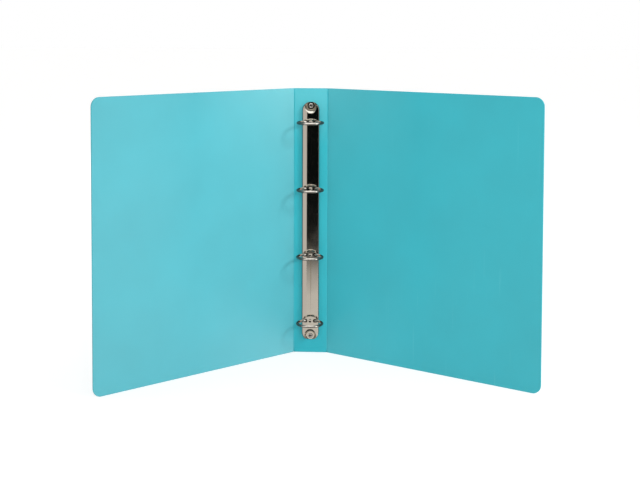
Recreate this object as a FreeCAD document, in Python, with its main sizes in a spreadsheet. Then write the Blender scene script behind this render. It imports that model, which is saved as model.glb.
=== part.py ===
import FreeCAD, Part
import math
import os
import Sketcher

# A4 four-ring binder standing on its lower edge, opened as a V.
# Frame: X to the right seen from the inside, +Y away from the inside (behind
# the spine), +Z up.  The origin is the middle of the spine's lower edge, in
# the middle of the sheet's thickness.  Heights above the inner face of the
# spine ("up" in the names below) run towards -Y.
# side is -1 for the front (-X) part of a pair and +1 for the back (+X) part.

Vector = FreeCAD.Vector
X_AXIS, Y_AXIS, Z_AXIS = Vector(1, 0, 0), Vector(0, 1, 0), Vector(0, 0, 1)
SIDES = (-1, 1)

DIMENSIONS = [
    # polypropylene sheet: covers, spine and the thin folds between them
    ("sheet_tall", 320.0),
    ("cover_wide", 275.0),        # fold axis to outer edge
    ("spine_wide", 40.6),         # fold axis to fold axis
    ("sheet_thick", 1.6),
    ("fold_gap", 0.5),            # fold axis to the edge of each panel
    ("fold_bevel", 0.55),         # 45 degree bevel on both faces of that edge
    ("web_thick", 0.4),
    ("web_bead", 0.3),            # radius of its round edge on the fold axis
    ("corner_round", 10.0),
    ("edge_round", 0.3),
    ("front_rest", 42.7),         # angle of each cover from flat
    ("back_rest", 31.6),
    # arched plate of the ring mechanism
    ("plate_long", 287.2),
    ("plate_wide", 20.0),
    ("plate_crown", 6.6),
    ("plate_wall", 4.55),
    ("plate_skin", 0.85),
    ("plate_corner", 9.2),
    ("plate_shoulder", 1.1),
    ("lip_half", 7.6),            # half the opening between the lips
    ("lip_end_gap", 2.0),         # opening's end to the skin round the dish seat
    # rivets through the ends of the plate
    ("rivet_half_span", 139.2),
    ("dish_seat", 4.6),           # radius of the flat seat
    ("dish_roll", 4.2),           # radius of the rolled rim
    ("dish_sin", 0.88295),        # sine and cosine of the dish wall's
    ("dish_cos", 0.46947),        # angle to the seat
    ("rivet_shank", 2.2),
    ("rivet_hole", 2.25),
    ("rivet_bore", 1.4),
    ("rivet_curl", 0.75),
    ("rivet_head", 4.8),
    ("rivet_dome", 1.3),
    ("rivet_rim", 0.25),          # thickness at the edge of the head
    ("rivet_floor", 0.35),        # thickness of the head under the bore's end
    # rings
    ("ring_pitch", 80.0),
    ("ring_mean", 14.8),          # radius to the middle of the wire
    ("ring_up", 18.55),
    ("wire_half", 1.5),
    ("bend_mean", 2.0),
    ("foot_x", 6.3),              # where the ring arc ends and the bend starts
    ("tip_gap", 0.05),
    ("tip_pin", 0.7),             # radius
    ("tip_pin_long", 0.8),
    ("tip_clear", 0.08),
    ("slot_in", 3.4),             # slot edges, from the plate's middle line
    ("slot_out", 9.45),
    ("slot_half", 2.2),
    ("slot_round", 1.8),
    ("slot_sill", 0.7),           # bottom of the slot cutter above the skin
    ("pip_ball", 4.6),
    ("pip_deep", 0.6),
    # rails under the plate
    ("pivot_out", 8.5),
    ("pivot_up", 1.53),
    ("rail_thick", 1.1),
    ("rail_wide", 8.3),
    ("rail_long", 256.0),
    ("rail_tilt", 4.0),
    ("finger_long", 24.0),        # a tooth and a notch together
    ("finger_reach", 0.9),
    ("finger_clear", 0.3),
    ("stake_half", 1.15),
    ("stake_hole", 1.17),
    ("stake_head", 1.75),
    ("stake_head_tall", 0.35),
]

doc = FreeCAD.newDocument("ring_binder")
dims = doc.addObject("Spreadsheet::Sheet", "Dims")
for row, (alias, value) in enumerate(DIMENSIONS, 1):
    dims.set(f"A{row}", repr(value))
    dims.setAlias(f"A{row}", alias)
doc.recompute()


class Size:
    """A number worked out from the spreadsheet, with the expression for it."""

    def __init__(self, value, text):
        self.value = float(value)
        self.text = text

    def _combine(self, other, sign, work):
        if not isinstance(other, Size):
            other = Size(other, repr(float(other)))
        return Size(work(self.value, other.value), f"({self.text} {sign} {other.text})")

    def __add__(self, other):
        return self._combine(other, "+", lambda a, b: a + b)

    def __sub__(self, other):
        return self._combine(other, "-", lambda a, b: a - b)

    def __mul__(self, other):
        return self._combine(other, "*", lambda a, b: a * b)

    def __truediv__(self, other):
        return self._combine(other, "/", lambda a, b: a / b)

    def __neg__(self):
        return Size(-self.value, f"(-1.0 * {self.text})")


def dim(alias):
    return Size(dims.get(alias), "Dims." + alias)


ZERO = Size(0.0, "0.0")
tall = dim("sheet_tall")
mid_height = tall / 2
half_sheet = dim("sheet_thick") / 2
inner_face_y = -half_sheet
fold_x = dim("spine_wide") / 2
skin = dim("plate_skin")
crown = dim("plate_crown")
rivet_span = dim("rivet_half_span")
ring_pitch = dim("ring_pitch")
lowest_ring = ring_pitch * -1.5       # from mid-length

pieces = []


def keep(obj, label):
    obj.Label = label
    pieces.append(obj)


def place(obj, turn=0, **where):
    """Puts obj at the sizes x, y, z given, turned about Z by turn degrees."""
    base = Vector(*(where.get(axis, ZERO).value for axis in "xyz"))
    obj.Placement = FreeCAD.Placement(base, FreeCAD.Rotation(Z_AXIS, turn))
    for axis, size in where.items():
        obj.setExpression("Placement.Base." + axis, size.text)


# ---------------------------------------------------------------- sketches
def new_body(name):
    return doc.addObject("PartDesign::Body", name)


def origin_part(body, role):
    return [f for f in body.Origin.OriginFeatures if f.Role == role][0]


def new_sketch(body, name, role, offset=0.0):
    """Sketch on an origin plane, moved by offset along the plane's normal.
    XZ_Plane's normal is -Y; on YZ_Plane sketch x is Y and sketch y is Z."""
    sketch = body.newObject("Sketcher::SketchObject", name)
    sketch.AttachmentSupport = [(origin_part(body, role), "")]
    sketch.MapMode = "FlatFace"
    sketch.AttachmentOffset = FreeCAD.Placement(Vector(0, 0, offset), FreeCAD.Rotation())
    return sketch


def drive(sketch, size, kind, *where):
    """Adds a dimension that follows the spreadsheet."""
    index = sketch.addConstraint(Sketcher.Constraint(kind, *where, size.value))
    sketch.setExpression(f"Constraints[{index}]", size.text)


def bind(sketch, geo, pos, x, y):
    """Ties a point of a sketch to the spreadsheet along x and y."""
    for kind, axis, size in (("DistanceX", -2, x), ("DistanceY", -1, y)):
        if abs(size.value) < 1e-9:
            sketch.addConstraint(Sketcher.Constraint("PointOnObject", geo, pos, axis))
        elif size.value > 0:
            drive(sketch, size, kind, -1, 1, geo, pos)
        else:
            drive(sketch, -size, kind, geo, pos, -1, 1)


def join(sketch, *ends):
    sketch.addConstraint(Sketcher.Constraint("Coincident", *ends))


def end_at(sketch, geo, point):
    """Which end of a curve, 1 or 2, lies on point."""
    return 1 if (sketch.getPoint(geo, 1) - point).Length < 1e-6 else 2


def closed_loop(sketch, corners, middles=None):
    """Closed chain through vectors.  middles gives the middle point of each
    run that is an arc, by number.  Returns (curve, starting end) of the runs."""
    middles = middles or {}
    count = len(corners)
    runs = []
    for i, start in enumerate(corners):
        finish = corners[(i + 1) % count]
        if i in middles:
            curve = Part.Arc(start, middles[i], finish)
        else:
            curve = Part.LineSegment(start, finish)
        runs.append(sketch.addGeometry(curve, False))
    runs = [(geo, end_at(sketch, geo, corner)) for geo, corner in zip(runs, corners)]
    for i, (geo, start) in enumerate(runs):
        join(sketch, geo, 3 - start, *runs[(i + 1) % count])
    return runs


def outline(sketch, points, middles=None, radii=None):
    """Closed loop through pairs of sizes, each bound to the spreadsheet."""
    corners = [Vector(x.value, y.value, 0) for x, y in points]
    runs = closed_loop(sketch, corners, middles)
    for (geo, start), (x, y) in zip(runs, points):
        bind(sketch, geo, start, x, y)
    for i, radius in (radii or {}).items():
        drive(sketch, radius, "Radius", runs[i][0])


def box_outline(sketch, x0, y0, x1, y1):
    outline(sketch, [(x0, y0), (x1, y0), (x1, y1), (x0, y1)])


def circle(sketch, x, y, radius):
    curve = Part.Circle(Vector(x.value, y.value, 0), Z_AXIS, radius.value)
    geo = sketch.addGeometry(curve, False)
    drive(sketch, radius, "Radius", geo)
    if abs(x.value) < 1e-9 and abs(y.value) < 1e-9:
        join(sketch, geo, 3, -1, 1)
    else:
        bind(sketch, geo, 3, x, y)


# ---------------------------------------------------------------- features
def finish(body, feature):
    body.Tip = feature
    doc.recompute()
    return feature


def pad(body, name, sketch, length, symmetric=True):
    feature = body.newObject("PartDesign::Pad", name)
    feature.Profile = sketch
    feature.SideType = "Symmetric" if symmetric else "One side"
    feature.Length = length.value
    feature.setExpression("Length", length.text)
    return finish(body, feature)


def cut_through(body, name, sketch):
    """Pocket right through, both ways from the sketch."""
    feature = body.newObject("PartDesign::Pocket", name)
    feature.Profile = sketch
    feature.Type = "ThroughAll"
    feature.SideType = "Symmetric"
    return finish(body, feature)


def turn_profile(body, kind, name, sketch, axis):
    """Full Revolution or Groove about an axis of the sketch."""
    feature = body.newObject("PartDesign::" + kind, name)
    feature.Profile = sketch
    feature.ReferenceAxis = (sketch, [axis])
    feature.Angle = 360
    return finish(body, feature)


def dress(body, kind, name, base, test, size):
    """Fillet or Chamfer on the edges of base that pass test."""
    names = [f"Edge{i}" for i, edge in enumerate(base.Shape.Edges, 1) if test(edge)]
    feature = body.newObject("PartDesign::" + kind, name)
    feature.Base = (base, names)
    size_name = "Radius" if kind == "Fillet" else "Size"
    setattr(feature, size_name, size.value)
    feature.setExpression(size_name, size.text)
    return finish(body, feature)


def repeat_at_rings(body, name, original):
    """Repeats a feature at the lowest ring at all four rings."""
    feature = body.newObject("PartDesign::LinearPattern", name)
    feature.Originals = [original]
    feature.Direction = (origin_part(body, "Z_Axis"), [""])
    feature.Length = ring_pitch.value * 3
    feature.setExpression("Length", (ring_pitch * 3).text)
    feature.Occurrences = 4
    body.Tip = feature
    return feature


def is_along(edge, axis):
    if not isinstance(edge.Curve, Part.Line):
        return False
    return abs(abs(edge.Curve.Direction.dot(axis)) - 1) < 1e-6


def bevel_folds(body, name, base, fold_edges):
    """Bevels the long upright edges at the given x places."""
    def at_fold(edge):
        return (is_along(edge, Z_AXIS) and edge.Length > 100
                and any(abs(edge.Vertexes[0].X - x) < 1e-6 for x in fold_edges))
    return dress(body, "Chamfer", name, base, at_fold, dim("fold_bevel"))


# ------------------------------------------------- sheet: spine and covers
def make_spine():
    body = new_body("Spine")
    sketch = new_sketch(body, "SpineOutline", "XZ_Plane")
    edge_x = fold_x - dim("fold_gap")
    box_outline(sketch, -edge_x, ZERO, edge_x, tall)
    pad(body, "SpinePad", sketch, dim("sheet_thick"))
    sketch = new_sketch(body, "RivetHoles", "XZ_Plane")
    for end in (-1, 1):
        circle(sketch, ZERO, mid_height + rivet_span * end, dim("rivet_hole"))
    holes = cut_through(body, "RivetHolePocket", sketch)
    bevel = bevel_folds(body, "SpineBevel", holes, (-edge_x.value, edge_x.value))
    dress(body, "Fillet", "SpineEdges", bevel,
          lambda edge: is_along(edge, X_AXIS) and edge.Length > 20, dim("edge_round"))
    keep(body, "spine_panel")


def make_cover(name, label, side, rest):
    """The cover runs from its fold axis at the local origin, along X."""
    body = new_body(name)
    sketch = new_sketch(body, name + "Outline", "XZ_Plane")
    fold_edge = dim("fold_gap") * side
    outer_edge = dim("cover_wide") * side
    box_outline(sketch, fold_edge, ZERO, outer_edge, tall)
    base = pad(body, name + "Pad", sketch, dim("sheet_thick"))
    bevel = bevel_folds(body, name + "Bevel", base, (fold_edge.value,))

    def at_outer_corner(edge):
        return (is_along(edge, Y_AXIS)
                and abs(edge.Vertexes[0].X - outer_edge.value) < 1e-6)

    corners = dress(body, "Fillet", name + "Corners", bevel, at_outer_corner,
                    dim("corner_round"))

    def on_rim(edge):
        box = edge.BoundBox
        on_face = abs(abs(box.YMin) - half_sheet.value) < 1e-6 and box.YLength < 1e-6
        at_fold = box.XLength < 1e-6 and abs(box.XMin) < 5
        return on_face and not at_fold

    dress(body, "Fillet", name + "Edges", corners, on_rim, dim("edge_round"))
    place(body, turn=-side * rest.value, x=fold_x * side)
    keep(body, label)


def make_web(name, label, side):
    """Thin strip that the fold leaves beside the spine, rounded on the axis
    that the cover turns about."""
    body = new_body(name)
    sketch = new_sketch(body, name + "Section", "XY_Plane")
    half_web = dim("web_thick") / 2
    box_outline(sketch, dim("fold_gap") * -side, -half_web, ZERO, half_web)
    pad(body, name + "Pad", sketch, tall, symmetric=False)
    sketch = new_sketch(body, name + "Bead", "XY_Plane")
    circle(sketch, ZERO, ZERO, dim("web_bead"))
    pad(body, name + "BeadPad", sketch, tall, symmetric=False)
    place(body, x=fold_x * side)
    keep(body, label)


# ------------------------------------------------------------ arched plate
# Local frame of the plate: origin on the inner face of the spine at
# mid-length; the crown points to -Y.
TRIM_MARGIN = 10           # plan cutter beyond the plate
DISH_HEADROOM = 3          # dish cutter above the crown
SLOT_HEADROOM = 2          # slot cutter's length beyond the crown height
LIP_CUT_EXTRA = 0.2        # lip cutter's thickness beyond twice the skin
INNER_WALL_DROP = 0.35     # inner wall is lower by this share of the skin


def arch_form(name, half, wall, top, low, corner, long_half, shoulder):
    """Solid from low to top with an arched section, walls as high as wall,
    rounded in plan at its four corners and along its shoulder."""
    body = new_body(name)
    sketch = new_sketch(body, name + "Section", "XY_Plane")
    sag = top - wall
    arch_radius = (half * half + sag * sag) / (sag * 2)
    outline(sketch, [(half, -wall), (-half, -wall), (-half, -low), (half, -low)],
            middles={0: Vector(0, -top.value, 0)}, radii={0: arch_radius})
    pad(body, name + "Pad", sketch, long_half * 2)

    # everything outside the rounded rectangle goes
    sketch = new_sketch(body, name + "Plan", "XZ_Plane")
    far_x = half + TRIM_MARGIN
    far_z = long_half + TRIM_MARGIN
    box_outline(sketch, -far_x, -far_z, far_x, far_z)
    points, middles, radii = [], {}, {}
    for x_sign, z_sign in ((1, 1), (-1, 1), (-1, -1), (1, -1)):
        centre_x = (half - corner) * x_sign
        centre_z = (long_half - corner) * z_sign
        centre = Vector(centre_x.value, centre_z.value, 0)
        outward = Vector(x_sign, z_sign, 0).normalize()
        middles[len(points)] = centre + outward * corner.value
        radii[len(points)] = corner
        ends = [(half * x_sign, centre_z), (centre_x, long_half * z_sign)]
        points += ends if x_sign == z_sign else ends[::-1]
    outline(sketch, points, middles, radii)
    trim = cut_through(body, name + "Trim", sketch)

    def on_shoulder(edge):
        return not is_along(edge, Y_AXIS) and edge.BoundBox.YMax < -wall.value + 0.01

    dress(body, "Fillet", name + "Shoulder", trim, on_shoulder, shoulder)
    return body


def cut_dishes(body, name, foot_up, offset):
    """Drawn recess round each rivet: a flat seat, a steep wall, and a wide
    rolled rim that runs out level with the crown.  The cut surface lies
    offset beneath the visible one, and starts at foot_up."""
    roll, wall_sin, wall_cos = dim("dish_roll"), dim("dish_sin"), dim("dish_cos")
    roll_up = crown - roll
    rim_radius = (dim("dish_seat")
                  + (roll_up + roll * wall_cos - skin) * wall_cos / wall_sin
                  + roll * wall_sin)
    bend = roll - offset
    bend_radius = rim_radius - bend * wall_sin
    bend_up = roll_up + bend * wall_cos
    foot_radius = bend_radius - (bend_up - foot_up) * wall_cos / wall_sin
    top_y = -(crown + DISH_HEADROOM)
    half_turn = math.atan2(wall_sin.value, wall_cos.value) / 2
    middle_y = -(roll_up.value + bend.value * math.cos(half_turn))
    middle_out = rim_radius.value - bend.value * math.sin(half_turn)
    volume = body.Shape.Volume
    for end_name, end in (("Top", 1), ("Bottom", -1)):
        sketch = new_sketch(body, name + end_name, "YZ_Plane")
        centre = rivet_span * end
        points = [
            (-foot_up, centre),
            (-foot_up, centre + foot_radius * end),
            (-bend_up, centre + bend_radius * end),
            (-(roll_up + bend), centre + rim_radius * end),
            (top_y, centre + rim_radius * end),
            (top_y, centre),
        ]
        middle = Vector(middle_y, centre.value + middle_out * end, 0)
        outline(sketch, points, middles={2: middle}, radii={2: bend})
        axis = sketch.addGeometry(
            Part.LineSegment(Vector(-foot_up.value, centre.value, 0),
                             Vector(top_y.value, centre.value, 0)), True)
        join(sketch, axis, 1, 0, 1)
        join(sketch, axis, 2, 5, 1)
        turn_profile(body, "Groove", name + end_name + "Groove", sketch, "Axis0")
    assert volume - body.Shape.Volume > 500


def make_slots():
    """Cutter for the pair of openings at each ring's feet."""
    body = new_body("PlateSlots")
    sill = skin + dim("slot_sill")
    sketch = new_sketch(body, "SlotPair", "XZ_Plane", sill.value)
    for side in SIDES:
        box_outline(sketch, dim("slot_in") * side, lowest_ring - dim("slot_half"),
                    dim("slot_out") * side, lowest_ring + dim("slot_half"))
    slot_pad = pad(body, "SlotPad", sketch, crown + SLOT_HEADROOM, symmetric=False)
    dress(body, "Fillet", "SlotRound", slot_pad,
          lambda edge: is_along(edge, Y_AXIS), dim("slot_round"))
    repeat_at_rings(body, "SlotPattern", slot_pad).TransformMode = "Whole shape"
    return body


def make_pip(number):
    """Ball that sinks a shallow hollow into the crown between a ring's feet."""
    ball = doc.addObject("Part::Sphere", f"Pip{number}")
    ball.Radius = dim("pip_ball").value
    ball.setExpression("Radius", dim("pip_ball").text)
    place(ball, y=-(crown + dim("pip_ball") - dim("pip_deep")),
          z=ring_pitch * (number - 2.5))
    return ball


def fuse(name, shapes):
    result = doc.addObject("Part::MultiFuse", name)
    result.Shapes = shapes
    doc.recompute()
    return result


def subtract(name, base, tool):
    result = doc.addObject("Part::Cut", name)
    result.Base = base
    result.Tool = tool
    doc.recompute()
    return result


def make_plate():
    half_wide = dim("plate_wide") / 2
    half_long = dim("plate_long") / 2
    outer = arch_form("PlateOuter", half_wide, dim("plate_wall"), crown, ZERO,
                      dim("plate_corner"), half_long, dim("plate_shoulder"))
    cut_dishes(outer, "Dish", foot_up=skin, offset=ZERO)
    inner = arch_form("PlateInner", half_wide - skin,
                      dim("plate_wall") - skin * INNER_WALL_DROP, crown - skin, skin,
                      dim("plate_corner") - skin, half_long - skin,
                      dim("plate_shoulder") - skin)
    # the skin under the recess keeps its thickness
    cut_dishes(inner, "DishUnder", foot_up=ZERO, offset=skin)

    lip_gap = new_body("PlateOpenings")
    sketch = new_sketch(lip_gap, "LipGap", "XZ_Plane")
    gap_end = rivet_span - dim("dish_seat") - skin - dim("lip_end_gap")
    box_outline(sketch, -dim("lip_half"), -gap_end, dim("lip_half"), gap_end)
    pad(lip_gap, "LipGapPad", sketch, skin * 2 + LIP_CUT_EXTRA)

    slots = make_slots()

    holes = new_body("PlateRivetHoles")
    sketch = new_sketch(holes, "RivetHolePair", "XZ_Plane")
    for end in (-1, 1):
        circle(sketch, ZERO, rivet_span * end, dim("rivet_hole"))
    pad(holes, "RivetHolePad", sketch, skin * 4)

    pips = [make_pip(number) for number in (1, 2, 3, 4)]
    doc.recompute()

    hollow = fuse("PlateHollow", [inner, lip_gap])
    shell = subtract("PlateSkin", outer, hollow)
    cutters = fuse("PlateCutters", [slots, holes] + pips)
    plate = subtract("ArchPlate", shell, cutters)
    place(plate, y=inner_face_y, z=mid_height)
    keep(plate, "arch_plate")


# ------------------------------------------------------------------ rivets
# Point the dome's arc passes through, as shares of head radius and dome height
DOME_MIDDLE = (0.55, 0.78)


def make_rivet(name, label, end):
    """Tubular rivet: domed head behind the spine, hollow shank through spine
    and plate seat, end curled outwards over the seat."""
    body = new_body(name)
    sketch = new_sketch(body, name + "Profile", "XY_Plane")
    head, dome = dim("rivet_head"), dim("rivet_dome")
    shank, bore = dim("rivet_shank"), dim("rivet_bore")
    back = half_sheet
    floor = back + dim("rivet_floor")
    seat = -(half_sheet + skin)
    curl_out = shank + dim("rivet_curl")
    points = [
        (ZERO, floor), (ZERO, back + dome), (head, back + dim("rivet_rim")),
        (head, back), (shank, back), (shank, seat),
        (curl_out, seat), (bore, seat), (bore, floor),
    ]
    dome_middle = Vector(head.value * DOME_MIDDLE[0],
                         (back + dome * DOME_MIDDLE[1]).value, 0)
    curl_radius = (curl_out - bore).value / 2
    curl_middle = Vector(curl_out.value - curl_radius, seat.value - curl_radius, 0)
    outline(sketch, points, middles={1: dome_middle, 6: curl_middle})
    turn_profile(body, "Revolution", name + "Turned", sketch, "V_Axis")
    place(body, z=mid_height + rivet_span * end)
    keep(body, label)


# ---------------------------------------------------------- foot of a ring
# Worked out as (x, up) for the half ring on the +X side: the ring arc ends at
# foot_start, and the bend turns the wire square to the tilted rail.
tilt = math.radians(dim("rail_tilt").value)
tilt_cos, tilt_sin = math.cos(tilt), math.sin(tilt)
rail_thick = dim("rail_thick").value
foot_x = dim("foot_x").value
foot_drop = math.sqrt(dim("ring_mean").value ** 2 - foot_x ** 2)
foot_start = (foot_x, dim("ring_up").value - foot_drop)
# headings of the wire below the horizontal
start_heading = math.atan2(foot_x, foot_drop)
leg_heading = math.pi / 2 + tilt


def bend_point(heading):
    radius = dim("bend_mean").value
    return (foot_start[0] - radius * (math.sin(heading) - math.sin(start_heading)),
            foot_start[1] - radius * (math.cos(start_heading) - math.cos(heading)))


bend_middle = bend_point((start_heading + leg_heading) / 2)
leg_start = bend_point(leg_heading)
leg_dx = leg_start[0] - dim("pivot_out").value
leg_dup = leg_start[1] - dim("pivot_up").value
# where the leg's line meets the rail, and the leg's start above it
foot_along_rail = -leg_dx * tilt_cos - leg_dup * tilt_sin
leg_long = -leg_dx * tilt_sin + leg_dup * tilt_cos - rail_thick / 2
leg_end = (leg_start[0] + leg_long * tilt_sin, leg_start[1] - leg_long * tilt_cos)


# ------------------------------------------------------------------- rails
def make_rail(name, label, side):
    """Local frame: pivot line at the origin; the rail lies along local X
    towards the middle of the plate."""
    into = -side
    body = new_body(name)
    sketch = new_sketch(body, name + "Plan", "XZ_Plane")
    wide = dim("rail_wide") * into
    half_long = dim("rail_long") / 2
    reach, clear = dim("finger_reach"), dim("finger_clear")
    tooth = (dim("rail_wide") + reach) * into
    notch = (dim("rail_wide") - reach - clear) * into
    # each station has a tooth of one rail beside a tooth of the other
    lower, upper = (tooth, notch) if side < 0 else (notch, tooth)
    half_finger = dim("finger_long") / 2
    shift = clear * side / 2
    points = [(ZERO, half_long), (ZERO, -half_long), (wide, -half_long)]
    for station in (-1, 0, 1):
        centre = ring_pitch * station
        z0 = centre - half_finger - shift
        z1 = centre + shift
        z2 = centre + half_finger - shift
        points += [(wide, z0), (lower, z0), (lower, z1), (wide, z1),
                   (upper, z1), (upper, z2), (wide, z2)]
    points.append((wide, half_long))
    outline(sketch, points)
    pad(body, name + "Pad", sketch, dim("rail_thick"))

    sketch = new_sketch(body, name + "Edge", "XY_Plane")
    circle(sketch, ZERO, ZERO, dim("rail_thick") / 2)
    pad(body, name + "EdgePad", sketch, dim("rail_long"))

    sketch = new_sketch(body, name + "Stakes", "XZ_Plane")
    hole_x = into * foot_along_rail
    circle(sketch, Size(hole_x, repr(hole_x)), lowest_ring, dim("stake_hole"))
    hole = cut_through(body, name + "StakeHole", sketch)
    repeat_at_rings(body, name + "StakeHoles", hole)
    doc.recompute()
    place(body, turn=-side * dim("rail_tilt").value, x=dim("pivot_out") * side,
          y=-(half_sheet + dim("pivot_up")), z=mid_height)
    keep(body, label)


# -------------------------------------------------------------- half rings
STAKE_ROOT = 0.6           # stake's overlap into the leg
HEAD_BEVEL = 0.5           # bevel of the stake's head, share of its height
PIN_ROOT = 0.5             # pin's overlap into the wire
SOCKET_ROOT = 0.4          # socket cutter's start short of the tip's face
NOSE_LONG = 0.5            # tapered nose, share of the pin's radius
NOSE_RADIUS = 0.4


def add_wire(body, name, side, place_at, tip_up):
    """Wire from the tip down the side, round the bend and onto the rail."""
    gap = dim("tip_gap") / 2
    radius, ring_up = dim("ring_mean"), dim("ring_up")
    tip, foot = place_at(gap.value, tip_up), place_at(*foot_start)
    widest = place_at(radius.value, ring_up.value)
    leg_top = place_at(*leg_start)
    path = new_sketch(body, name + "Path", "XY_Plane")
    arc = path.addGeometry(Part.Arc(tip, widest, foot), False)
    bend = path.addGeometry(Part.Arc(foot, place_at(*bend_middle), leg_top), False)
    leg = path.addGeometry(Part.LineSegment(leg_top, place_at(*leg_end)), False)
    join(path, arc, end_at(path, arc, foot), bend, end_at(path, bend, foot))
    join(path, bend, end_at(path, bend, leg_top), leg, 1)
    drive(path, radius, "Radius", arc)
    drive(path, dim("bend_mean"), "Radius", bend)
    bind(path, arc, 3, ZERO, -(half_sheet + ring_up))
    doc.recompute()
    section = new_sketch(body, name + "Wire", "YZ_Plane", side * gap.value)
    circle(section, -(half_sheet + ring_up + radius), ZERO, dim("wire_half"))
    doc.recompute()
    pipe = body.newObject("PartDesign::AdditivePipe", name + "Pipe")
    pipe.Profile = section
    pipe.Spine = (path, ["Edge1", "Edge2", "Edge3"])
    pipe.Mode = "Standard"
    finish(body, pipe)


def add_stake(body, name, side, root):
    """Stake from the leg's end through the rail, headed below it."""
    down = Vector(side * tilt_sin, tilt_cos, 0)      # along the leg
    across = Vector(side * tilt_cos, -tilt_sin, 0)
    shank, head = dim("stake_half").value, dim("stake_head").value
    head_tall = dim("stake_head_tall").value
    bevel = head_tall * HEAD_BEVEL
    head_end = rail_thick + head_tall
    profile = [                      # (distance down, radius)
        (-STAKE_ROOT, 0), (-STAKE_ROOT, shank), (rail_thick, shank), (rail_thick, head),
        (head_end - bevel, head), (head_end, head - bevel), (head_end, 0),
    ]
    corners = [root + down * depth + across * radius for depth, radius in profile]
    sketch = new_sketch(body, name + "StakeProfile", "XY_Plane")
    closed_loop(sketch, corners)
    sketch.addConstraint(Sketcher.Constraint("Block", 0))
    sketch.addGeometry(Part.LineSegment(corners[0], corners[-1]), True)
    turn_profile(body, "Revolution", name + "Stake", sketch, "Axis0")


def add_tip(body, name, side, tip_y):
    """Pin on the front half, socket in the back half, so closed tips line up."""
    gap = dim("tip_gap").value / 2
    pin, pin_long = dim("tip_pin").value, dim("tip_pin_long").value
    if side < 0:
        kind, suffix, clear = "Revolution", "Pin", 0.0
        x0, x1 = -gap - PIN_ROOT, -gap + pin_long
    else:
        kind, suffix, clear = "Groove", "Socket", dim("tip_clear").value
        x0, x1 = gap - SOCKET_ROOT, pin_long + clear
    profile = [                      # (x, radius)
        (x0, 0), (x0, pin + clear), (x1 - pin * NOSE_LONG, pin + clear),
        (x1, pin * NOSE_RADIUS + clear), (x1, 0),
    ]
    corners = [Vector(x, tip_y + radius, 0) for x, radius in profile]
    sketch = new_sketch(body, name + "TipProfile", "XY_Plane")
    closed_loop(sketch, corners)
    sketch.addGeometry(Part.LineSegment(corners[0], corners[-1]), True)
    doc.recompute()
    volume = body.Shape.Volume
    turn_profile(body, kind, name + suffix, sketch, "Axis0")
    growth = body.Shape.Volume - volume
    assert -side * growth > 0.3, growth


def make_half_ring(name, label, side, number):
    """Drawn in the plate's middle plane; ring 1 is the top one."""
    def place_at(x, up):
        return Vector(side * x, inner_face_y.value - up, 0)

    body = new_body(name)
    half_gap = dim("tip_gap").value / 2
    tip_up = (dim("ring_up").value
              + math.sqrt(dim("ring_mean").value ** 2 - half_gap ** 2))
    add_wire(body, name, side, place_at, tip_up)
    add_stake(body, name, side, place_at(*leg_end))
    add_tip(body, name, side, inner_face_y.value - tip_up)
    place(body, z=mid_height + ring_pitch * (2.5 - number))
    keep(body, label)


# ---------------------------------------------------------------- assembly
make_spine()
make_cover("FrontCover", "front_cover", -1, dim("front_rest"))
make_cover("BackCover", "back_cover", 1, dim("back_rest"))
make_web("FrontWeb", "front_hinge_web", -1)
make_web("BackWeb", "back_hinge_web", 1)
make_plate()
make_rivet("TopRivet", "top_rivet", 1)
make_rivet("BottomRivet", "bottom_rivet", -1)
make_rail("FrontRail", "front_rail", -1)
make_rail("BackRail", "back_rail", 1)
for number in (1, 2, 3, 4):
    make_half_ring(f"FrontHalf{number}", f"front_half_ring_{number}", -1, number)
    make_half_ring(f"BackHalf{number}", f"back_half_ring_{number}", 1, number)

# -------------------------------------------------------- check and export
doc.recompute()
for obj in doc.Objects:
    for state in obj.State:
        if state in ("Invalid", "Error"):
            raise RuntimeError(f"{obj.Name} is {state}")
for piece in pieces:
    shape = piece.Shape
    if shape.isNull() or not shape.isValid() or not shape.Solids:
        raise RuntimeError(f"{piece.Label} has a bad shape")

os.makedirs("parts", exist_ok=True)
for piece in pieces:
    piece.Shape.exportStep(f"parts/{piece.Label}.step")
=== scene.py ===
import math

import bmesh
import bpy
import numpy as np
from mathutils import Matrix, Vector


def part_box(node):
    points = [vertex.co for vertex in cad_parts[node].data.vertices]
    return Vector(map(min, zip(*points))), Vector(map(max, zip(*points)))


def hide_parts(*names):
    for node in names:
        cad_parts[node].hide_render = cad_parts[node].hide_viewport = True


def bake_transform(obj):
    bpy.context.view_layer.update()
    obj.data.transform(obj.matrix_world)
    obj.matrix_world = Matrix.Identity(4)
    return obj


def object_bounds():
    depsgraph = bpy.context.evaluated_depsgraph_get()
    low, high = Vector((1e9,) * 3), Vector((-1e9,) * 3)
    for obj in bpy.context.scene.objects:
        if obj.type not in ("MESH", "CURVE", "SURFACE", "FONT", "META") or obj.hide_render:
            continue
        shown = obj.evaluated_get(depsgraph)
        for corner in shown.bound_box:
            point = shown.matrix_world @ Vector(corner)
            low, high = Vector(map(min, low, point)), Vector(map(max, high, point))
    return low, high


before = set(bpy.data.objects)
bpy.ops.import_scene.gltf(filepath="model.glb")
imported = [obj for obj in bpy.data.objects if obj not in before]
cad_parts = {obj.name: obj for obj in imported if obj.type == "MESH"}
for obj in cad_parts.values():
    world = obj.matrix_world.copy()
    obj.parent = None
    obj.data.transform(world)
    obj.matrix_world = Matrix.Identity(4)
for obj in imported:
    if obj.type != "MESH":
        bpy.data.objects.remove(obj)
CAD_LO, CAD_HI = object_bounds()
MM = 0.001
scene = bpy.context.scene

# ------------------------------------------------------------- materials


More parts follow.
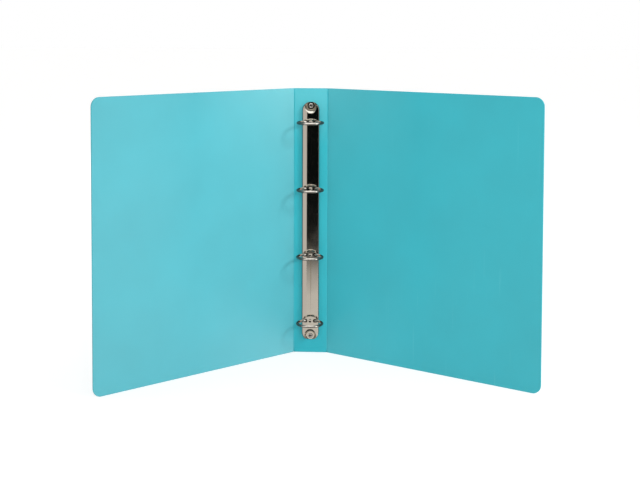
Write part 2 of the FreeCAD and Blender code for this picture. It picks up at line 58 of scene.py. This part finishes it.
def new_material(name):
    m = bpy.data.materials.new(name)
    m.use_nodes = True
    nt = m.node_tree
    for n in list(nt.nodes):
        nt.nodes.remove(n)
    out = nt.nodes.new("ShaderNodeOutputMaterial")
    bsdf = nt.nodes.new("ShaderNodeBsdfPrincipled")
    nt.links.new(bsdf.outputs["BSDF"], out.inputs["Surface"])
    return m, nt, bsdf


def noise(nt, vec, scale, detail=2.0, rough=0.5):
    n = nt.nodes.new("ShaderNodeTexNoise")
    n.inputs["Scale"].default_value = scale
    n.inputs["Detail"].default_value = detail
    n.inputs["Roughness"].default_value = rough
    nt.links.new(vec, n.inputs["Vector"])
    return n.outputs["Fac"]


def ramp(nt, fac, lo, hi, out_lo, out_hi):
    r = nt.nodes.new("ShaderNodeMapRange")
    r.inputs["From Min"].default_value = lo
    r.inputs["From Max"].default_value = hi
    r.inputs["To Min"].default_value = out_lo
    r.inputs["To Max"].default_value = out_hi
    nt.links.new(fac, r.inputs["Value"])
    return r.outputs["Result"]


def math_node(nt, op, a, b):
    m = nt.nodes.new("ShaderNodeMath")
    m.operation = op
    for i, v in enumerate((a, b)):
        if isinstance(v, (int, float)):
            m.inputs[i].default_value = v
        else:
            nt.links.new(v, m.inputs[i])
    return m.outputs[0]


def coords(nt):
    return nt.nodes.new("ShaderNodeTexCoord").outputs["Object"]


def bump(nt, height, strength, distance, normal=None):
    b = nt.nodes.new("ShaderNodeBump")
    b.inputs["Strength"].default_value = strength
    b.inputs["Distance"].default_value = distance
    nt.links.new(height, b.inputs["Height"])
    if normal is not None:
        nt.links.new(normal, b.inputs["Normal"])
    return b.outputs["Normal"]


def sheet_material(name, base, white=0.0, shine=0.95, near=0.0, top=0.0):
    """Opaque turquoise polypropylene: satin, with a fine moulded grain, a
    slow ripple in its flatness, faint rub marks and hairline scuffs. white
    adds the milky bruising that a worked crease has; near and top paint
    light into the colour, making the sheet paler towards the folds and
    towards its upper edge."""
    m, nt, bsdf = new_material(name)
    vec = coords(nt)
    fine = noise(nt, vec, 2600.0, 3.0, 0.6)
    grain = noise(nt, vec, 620.0, 2.0, 0.5)
    ripple = noise(nt, vec, 6.0, 1.5, 0.4)
    tint = noise(nt, vec, 14.0, 3.0, 0.5)
    rubbed = noise(nt, vec, 3.2, 4.0, 0.62)
    # hairline scuffs, long and thin, at a few angles
    scuffs = None
    for turn_z, seed in ((0.5, 0.0), (1.1, 3.7), (-0.7, 8.1)):
        mp = nt.nodes.new("ShaderNodeMapping")
        mp.inputs["Location"].default_value = (seed, seed * 0.5, -seed)
        mp.inputs["Rotation"].default_value = (0.0, turn_z, 0.0)
        mp.inputs["Scale"].default_value = (430.0, 430.0, 9.0)
        nt.links.new(vec, mp.inputs["Vector"])
        n = noise(nt, mp.outputs[0], 1.0, 1.0, 0.4)
        line = ramp(nt, n, 0.745, 0.80, 0.0, 1.0)
        scuffs = line if scuffs is None else math_node(nt, "MAXIMUM", scuffs, line)
    scuffs = math_node(nt, "MULTIPLY", scuffs, ramp(nt, rubbed, 0.45, 0.65, 0.0, 1.0))
    mix = nt.nodes.new("ShaderNodeMix")
    mix.data_type = "RGBA"
    mix.inputs["A"].default_value = (*[c * 0.96 for c in base], 1)
    mix.inputs["B"].default_value = (*[min(1, c * 1.04) for c in base], 1)
    nt.links.new(ramp(nt, tint, 0.3, 0.7, 0.0, 1.0), mix.inputs["Factor"])
    color = mix.outputs["Result"]
    worn = nt.nodes.new("ShaderNodeMix")
    worn.data_type = "RGBA"
    nt.links.new(color, worn.inputs["A"])
    worn.inputs["B"].default_value = (0.12, 0.56, 0.63, 1)
    nt.links.new(math_node(nt, "MULTIPLY", scuffs, 0.35), worn.inputs["Factor"])
    color = worn.outputs["Result"]
    if white:
        milk = nt.nodes.new("ShaderNodeMix")
        milk.data_type = "RGBA"
        streak = nt.nodes.new("ShaderNodeMapping")
        streak.inputs["Scale"].default_value = (1.0, 1.0, 0.08)
        nt.links.new(vec, streak.inputs["Vector"])
        nt.links.new(color, milk.inputs["A"])
        milk.inputs["B"].default_value = (0.30, 0.66, 0.72, 1)
        nt.links.new(ramp(nt, noise(nt, streak.outputs[0], 900.0, 3.0, 0.6),
                          0.35, 0.65, white * 0.5, white), milk.inputs["Factor"])
        color = milk.outputs["Result"]
    # painted light: a pale tone is added to the colour, strongest beside the folds and higher up,
    # and along the top edge
    if near or top:
        place = nt.nodes.new("ShaderNodeSeparateXYZ")
        nt.links.new(vec, place.inputs[0])
        fold = ramp(nt, math_node(nt, "ABSOLUTE", place.outputs["X"], 0.0),
                    0.02, 0.125, 1.1 * near, 0.0)
        high = math_node(nt, "ADD", ramp(nt, place.outputs["Z"], 0.04, 0.22, 0.62, 0.92),
                         ramp(nt, place.outputs["Z"], 0.22, 0.31, 0.0, 0.6))
        paler = math_node(nt, "ADD", math_node(nt, "MULTIPLY", fold, high),
                          ramp(nt, place.outputs["Z"], 0.25, 0.31, 0.0, top))
        tone = nt.nodes.new("ShaderNodeVectorMath")
        tone.operation = "SCALE"
        tone.inputs[0].default_value = (0.27, 0.31, 0.28)
        nt.links.new(paler, tone.inputs["Scale"])
        lift = nt.nodes.new("ShaderNodeVectorMath")
        lift.operation = "ADD"
        nt.links.new(color, lift.inputs[0])
        nt.links.new(tone.outputs["Vector"], lift.inputs[1])
        color = lift.outputs["Vector"]
    # painted shade in reflections: to glossy rays the sheet's colour is swapped for a dim, dark
    # teal, so polished metal nearby shows the sheet as if it stood in shadow
    lp = nt.nodes.new("ShaderNodeLightPath")
    reflected_shade = nt.nodes.new("ShaderNodeMix")
    reflected_shade.data_type = "RGBA"
    nt.links.new(color, reflected_shade.inputs["A"])
    reflected_shade.inputs["B"].default_value = (0.003, 0.070, 0.084, 1)
    nt.links.new(math_node(nt, "MULTIPLY", lp.outputs["Is Glossy Ray"], 0.95),
                 reflected_shade.inputs["Factor"])
    nt.links.new(reflected_shade.outputs["Result"], bsdf.inputs["Base Color"])
    rough = math_node(nt, "ADD", ramp(nt, grain, 0.3, 0.7, 0.33, 0.41),
                      ramp(nt, rubbed, 0.35, 0.65, -0.035, 0.035))
    rough = math_node(nt, "ADD", rough, math_node(nt, "MULTIPLY", scuffs, 0.12))
    nt.links.new(rough, bsdf.inputs["Roughness"])
    n1 = bump(nt, ripple, 0.35, 0.003)
    n2 = bump(nt, grain, 0.14, 0.0002, n1)
    n3 = bump(nt, fine, 0.14, 0.0001, n2)
    n4 = bump(nt, scuffs, -0.25, 0.00005, n3)
    nt.links.new(n4, bsdf.inputs["Normal"])
    bsdf.inputs["IOR"].default_value = 1.49
    bsdf.inputs["Specular IOR Level"].default_value = shine
    bsdf.inputs["Subsurface Weight"].default_value = 0.06
    bsdf.inputs["Subsurface Radius"].default_value = (0.2, 0.9, 1.0)
    bsdf.inputs["Subsurface Scale"].default_value = 0.0012
    return m


def metal_material(name, color, rough_lo, rough_hi, scale=900.0, ripple=0.0):
    """Nickel plate: mirror polish with a slight haze and faint polishing lines."""
    m, nt, bsdf = new_material(name)
    vec = coords(nt)
    haze = noise(nt, vec, 60.0, 3.0, 0.6)
    fine = noise(nt, vec, scale, 2.0, 0.5)
    bsdf.inputs["Base Color"].default_value = (*color, 1)
    bsdf.inputs["Metallic"].default_value = 1.0
    nt.links.new(ramp(nt, haze, 0.3, 0.7, rough_lo, rough_hi), bsdf.inputs["Roughness"])
    n = bump(nt, fine, 0.03, 0.00005)
    if ripple:
        n = bump(nt, noise(nt, vec, 45.0, 1.0, 0.4), ripple, 0.001, n)
    nt.links.new(n, bsdf.inputs["Normal"])
    return m


TURQ = (0.012, 0.440, 0.523)
# painted light: near makes the sheet paler beside the folds
mat_sheet = sheet_material("polypropylene", TURQ, near=0.15)
# painted sheen: the front cover has a paler, redder copy of the sheet colour, and near paints it
# paler still beside its fold, standing in for the extra light and sheen it catches
mat_front = sheet_material("polypropylene_painted_sheen", (0.052, 0.425, 0.505), near=0.27)
mat_fold = sheet_material("polypropylene_crease", TURQ, 0.08)
# painted highlight: top makes the spine paler along its upper edge
mat_spine = sheet_material("polypropylene_spine", (0.024, 0.435, 0.515), shine=0.5, top=0.25)
NICKEL = (0.625, 0.588, 0.518)
mat_plate = metal_material("nickel_plate", NICKEL, 0.045, 0.09, ripple=0.02)
mat_ring = metal_material("nickel_wire", (0.66, 0.62, 0.57), 0.05, 0.11)
mat_rail = metal_material("steel_strip", (0.45, 0.43, 0.40), 0.22, 0.34)
mat_rivet = metal_material("nickel_rivet", (0.74, 0.71, 0.67), 0.20, 0.28)

for name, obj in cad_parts.items():
    if name == "spine_panel":
        mat = mat_spine
    elif name == "front_cover":
        mat = mat_front
    elif "cover" in name or "web" in name:
        mat = mat_sheet
    elif name == "arch_plate":
        mat = mat_plate
    elif "rail" in name:
        mat = mat_rail
    elif "rivet" in name:
        mat = mat_rivet
    else:
        mat = mat_ring
    obj.data.materials.clear()
    obj.data.materials.append(mat)

# ----------------------------------------------------------------- folds
# The sheet is one moulding, scored along two lines. Each fold is a shallow
# valley on both faces, filled by its own strip of the same plastic, bent
# to the cover's angle. rest is the angle the cover already stands at.
HALF = 0.8 * MM          # half the sheet thickness
TOP = CAD_HI[2]


def fold_strip(name, sign, rest, node, joint_x):
    lo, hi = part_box(node)
    z0, z1 = lo[2], hi[2]
    # flat section, across the fold: u from the spine towards the cover
    us = [-1.20, -1.06, -1.0, -0.85, -0.65, -0.45, -0.25, -0.1, 0.1, 0.25,
          0.45, 0.65, 0.85, 1.0, 1.06, 1.20]

    def depth(u):
        """How far the valley dips below the face at u."""
        if abs(u) >= 1.06:
            return 0.05
        t = (1 + math.cos(math.pi * u / 1.06)) / 2
        return 0.012 + 0.17 * t ** 1.3
    inner = [(u, 0.8 - depth(u)) for u in us]
    outer = [(u, -0.8 + depth(u)) for u in reversed(us)]
    section = inner + outer
    n = len(section)
    zs = np.linspace(z0 + 0.00015, z1 - 0.00015, 65)
    me = bpy.data.meshes.new(name)
    bm = bmesh.new()
    rows = []
    for k, z in enumerate(zs):
        ring = []
        end = min(k, len(zs) - 1 - k)
        shrink = 1.0 - (0.08 if end == 0 else 0.0)
        for u, v in section:
            w = min(max((u + 0.5) / 1.0, 0.0), 1.0)
            w = w * w * (3 - 2 * w)
            ang = w * math.radians(rest)
            # v is measured from mid sheet towards the inside of the binder
            x = u * MM * math.cos(ang) - v * shrink * MM * math.sin(ang)
            y = u * MM * math.sin(ang) + v * shrink * MM * math.cos(ang)
            ring.append(bm.verts.new((joint_x + sign * x, -y, z)))
        rows.append(ring)
    for a, b in zip(rows, rows[1:]):
        for i in range(n):
            j = (i + 1) % n
            bm.faces.new((a[i], a[j], b[j], b[i]))
    bm.faces.new(rows[0])
    bm.faces.new(list(reversed(rows[-1])))
    bmesh.ops.recalc_face_normals(bm, faces=bm.faces)
    bm.to_mesh(me)
    bm.free()
    for poly in me.polygons:
        poly.use_smooth = len(poly.vertices) == 4
    me.materials.append(mat_fold)
    o = bpy.data.objects.new(name, me)
    scene.collection.objects.link(o)
    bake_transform(o)
    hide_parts(node)
    return o


fold_strip("front_fold", -1, 42.7, "front_hinge_web", -20.3 * MM)
fold_strip("back_fold", 1, 31.6, "back_hinge_web", 20.3 * MM)

# ----------------------------------------------------------------- stage


def plane_mesh(name, size_x, size_y, mat):
    me = bpy.data.meshes.new(name)
    bm = bmesh.new()
    bmesh.ops.create_grid(bm, x_segments=2, y_segments=2, size=0.5)
    bmesh.ops.scale(bm, vec=(size_x, size_y, 1), verts=bm.verts)
    bm.to_mesh(me)
    bm.free()
    me.materials.append(mat)
    o = bpy.data.objects.new(name, me)
    scene.collection.objects.link(o)
    return o


m, nt, bsdf = new_material("pale_floor")
bsdf.inputs["Roughness"].default_value = 0.8
bsdf.inputs["Specular IOR Level"].default_value = 0.1
pale = nt.nodes.new("ShaderNodeMix")
pale.data_type = "RGBA"
pale.inputs["A"].default_value = (0.90, 0.90, 0.89, 1)
pale.inputs["B"].default_value = (0.93, 0.93, 0.925, 1)
nt.links.new(noise(nt, coords(nt), 3.0, 3.0, 0.5), pale.inputs["Factor"])
# to the camera it is half lit paper, half its own light, so that it runs out
# to white and its shadows stay faint
lp = nt.nodes.new("ShaderNodeLightPath")
shown = nt.nodes.new("ShaderNodeMix")
shown.data_type = "RGBA"
nt.links.new(lp.outputs["Is Camera Ray"], shown.inputs["Factor"])
nt.links.new(pale.outputs["Result"], shown.inputs["A"])
shown.inputs["B"].default_value = (0.50, 0.50, 0.50, 1)
nt.links.new(shown.outputs["Result"], bsdf.inputs["Base Color"])
bsdf.inputs["Emission Color"].default_value = (1, 1, 1, 1)
nt.links.new(math_node(nt, "MULTIPLY", lp.outputs["Is Camera Ray"], 0.64),
             bsdf.inputs["Emission Strength"])
floor = plane_mesh("floor", 30, 30, m)
floor.location = (0, 0, -0.0002)
floor.visible_glossy = False

world = bpy.data.worlds.new("studio")
scene.world = world
world.cycles.sampling_method = "NONE"
world.use_nodes = True
nt = world.node_tree
for n in list(nt.nodes):
    nt.nodes.remove(n)


def band(value, lo, hi, soft):
    """1 between lo and hi, falling to 0 over a soft margin on each side."""
    up = ramp(nt, value, lo - soft, lo + soft, 0.0, 1.0)
    down = ramp(nt, value, hi - soft, hi + soft, 1.0, 0.0)
    return math_node(nt, "MULTIPLY", up, down)


def over(base, color, amount):
    mix = nt.nodes.new("ShaderNodeMix")
    mix.data_type = "RGBA"
    if isinstance(base, tuple):
        mix.inputs["A"].default_value = (*base, 1)
    else:
        nt.links.new(base, mix.inputs["A"])
    mix.inputs["B"].default_value = (*color, 1)
    nt.links.new(amount, mix.inputs["Factor"])
    return mix.outputs["Result"]


# What polished metal sees: a pale table, a dark room beyond its front edge,
# a pale wall front left, and a large window to the right and overhead.
tc = nt.nodes.new("ShaderNodeTexCoord").outputs["Generated"]
sep = nt.nodes.new("ShaderNodeSeparateXYZ")
nt.links.new(tc, sep.inputs[0])
DEG = 180.0 / math.pi
azim = math_node(nt, "MULTIPLY", math_node(nt, "ARCTAN2", sep.outputs["X"],
                 math_node(nt, "MULTIPLY", sep.outputs["Y"], -1.0)), DEG)
elev = math_node(nt, "MULTIPLY", math_node(nt, "ARCSINE", sep.outputs["Z"], 0.0), DEG)
around = over((0.10, 0.10, 0.10), (0.80, 0.775, 0.74), ramp(nt, elev, -13.5, -10.5, 1.0, 0.0))
around = over(around, (0.74, 0.70, 0.68), math_node(
    nt, "MULTIPLY", band(azim, -75.0, -23.0, 1.2), band(elev, -16.0, 30.0, 3.0)))
# something dim standing on the table, tapering towards the binder
reach = math_node(nt, "SUBTRACT", ramp(nt, elev, -14.6, -11.6, 0.0, 7.0),
                  math_node(nt, "ABSOLUTE", math_node(nt, "ADD", azim, 0.5), 0.0))
around = over(around, (0.47, 0.43, 0.36), ramp(nt, reach, 0.0, 2.5, 0.0, 1.0))
around = over(around, (0.004, 0.005, 0.005), math_node(
    nt, "MULTIPLY", band(azim, -23.0, 46.5, 1.0), band(elev, -11.8, 40.0, 0.8)))
window = math_node(nt, "MAXIMUM",
                   math_node(nt, "MULTIPLY", band(azim, 56.0, 125.0, 4.0),
                             band(elev, -32.0, 100.0, 6.0)),
                   math_node(nt, "MULTIPLY", band(azim, -55.0, 125.0, 4.0),
                             band(elev, 31.0, 100.0, 5.0)))
around = over(around, (1.4, 1.4, 1.375), window)
around = over(around, (2.4, 2.4, 2.4), ramp(nt, elev, 60.0, 70.0, 0.0, 1.0))
around = over(around, (1.9, 1.9, 1.87), math_node(
    nt, "MULTIPLY", band(azim, 55.0, 68.0, 3.0), band(elev, -25.0, 40.0, 8.0)))
# the shaded ground right under the binder
around = over(around, (0.03, 0.035, 0.035), ramp(nt, elev, -52.0, -40.0, 1.0, 0.0))

out = nt.nodes.new("ShaderNodeOutputWorld")
path = nt.nodes.new("ShaderNodeLightPath")
soft = nt.nodes.new("ShaderNodeBackground")
soft.inputs["Color"].default_value = (1.0, 0.995, 0.985, 1)
soft.inputs["Strength"].default_value = 0.70
mirror = nt.nodes.new("ShaderNodeBackground")
nt.links.new(around, mirror.inputs["Color"])
seen = nt.nodes.new("ShaderNodeBackground")
seen.inputs["Color"].default_value = (1, 1, 1, 1)
seen.inputs["Strength"].default_value = 1.0
pick = nt.nodes.new("ShaderNodeMixShader")
nt.links.new(path.outputs["Is Glossy Ray"], pick.inputs["Fac"])
nt.links.new(soft.outputs[0], pick.inputs[1])
nt.links.new(mirror.outputs[0], pick.inputs[2])
mixs = nt.nodes.new("ShaderNodeMixShader")
nt.links.new(path.outputs["Is Camera Ray"], mixs.inputs["Fac"])
nt.links.new(pick.outputs[0], mixs.inputs[1])
nt.links.new(seen.outputs[0], mixs.inputs[2])
nt.links.new(mixs.outputs[0], out.inputs["Surface"])


def area(name, loc, target, size, power, color=(1, 1, 1)):
    light = bpy.data.lights.new(name, "AREA")
    light.shape = "RECTANGLE"
    light.size, light.size_y = size
    light.energy = power
    light.color = color
    o = bpy.data.objects.new(name, light)
    scene.collection.objects.link(o)
    o.location = loc
    d = Vector(target) - Vector(loc)
    o.rotation_mode = "QUATERNION"
    o.rotation_quaternion = d.to_track_quat("-Z", "Y")
    # polished metal sees the room above instead of the lamps
    o.visible_glossy = False
    return o


area("key", (1.064, -0.831, 1.10), (0.0, -0.03, 0.16), (0.36, 0.36), 9.4, (1.0, 0.985, 0.96))
area("front", (0.25, -1.9, 0.95), (0.0, 0.0, 0.16), (0.9, 0.6), 5.0, (1.0, 0.995, 0.985))
area("rear", (-0.9, 1.8, 1.0), (0.0, 0.0, 0.16), (1.2, 0.8), 7.0, (1.0, 0.995, 0.985))
beam = bpy.data.lights.new("beam", "SPOT")
beam.energy = 28.0
beam.spot_size = math.radians(22)
beam.spot_blend = 1.0
beam.shadow_soft_size = 0.14
beam_o = bpy.data.objects.new("beam", beam)
scene.collection.objects.link(beam_o)
beam_o.location = (0.35, -1.85, 0.62)
beam_o.visible_glossy = False
beam_o.rotation_mode = "QUATERNION"
beam_o.rotation_quaternion = (Vector((0.0, 0.0, 0.17)) - beam_o.location).to_track_quat("-Z", "Y")

# ---------------------------------------------------------------- camera
# Pose of the viewpoint, and the offset of the picture from the lens axis.
F, CX, CY = 1153.09, 297.76, 79.73
EYE = Vector((63.06, -1376.59, 401.3)) * MM
YAW, PITCH, ROLL = (math.radians(a) for a in (3.29, -2.96, -0.14))


def turn(yaw, pitch, roll):
    return (Matrix.Rotation(yaw, 3, "Z") @ Matrix.Rotation(pitch, 3, "X")
            @ Matrix.Rotation(roll, 3, "Y"))


R = turn(YAW, PITCH, ROLL)
right, forward, up = R.col[0], R.col[1], R.col[2]
cam_data = bpy.data.cameras.new("camera")
cam_data.sensor_fit = "HORIZONTAL"
cam_data.sensor_width = 36.0
cam_data.lens = F / 640 * 36.0
cam_data.clip_start = 0.05
cam_data.clip_end = 60
cam = bpy.data.objects.new("camera", cam_data)
scene.collection.objects.link(cam)
cam.matrix_world = Matrix((
    (right.x, up.x, -forward.x, EYE.x),
    (right.y, up.y, -forward.y, EYE.y),
    (right.z, up.z, -forward.z, EYE.z),
    (0, 0, 0, 1)))
scene.camera = cam


def shift_driver(prop, value):
    """The picture is off the lens axis only from this viewpoint; a camera
    moved anywhere else looks straight ahead."""
    drv = cam_data.driver_add(prop).driver
    drv.type = "SCRIPTED"
    for var_name, kind in (("px", "LOC_X"), ("py", "LOC_Y")):
        var = drv.variables.new()
        var.name = var_name
        var.type = "TRANSFORMS"
        var.targets[0].id = cam
        var.targets[0].transform_type = kind
        var.targets[0].transform_space = "WORLD_SPACE"
    drv.expression = "%.6f * (abs(px - %.5f) < 0.0005) * (abs(py + %.5f) < 0.0005)" % (
        value, EYE.x, -EYE.y)


shift_driver("shift_x", (320.0 - CX) / 640.0)
shift_driver("shift_y", (CY - 240.0) / 640.0)

scene.view_settings.view_transform = "Standard"
scene.view_settings.look = "None"

# ------------------------------------------------------------------ update
bpy.context.view_layer.update()
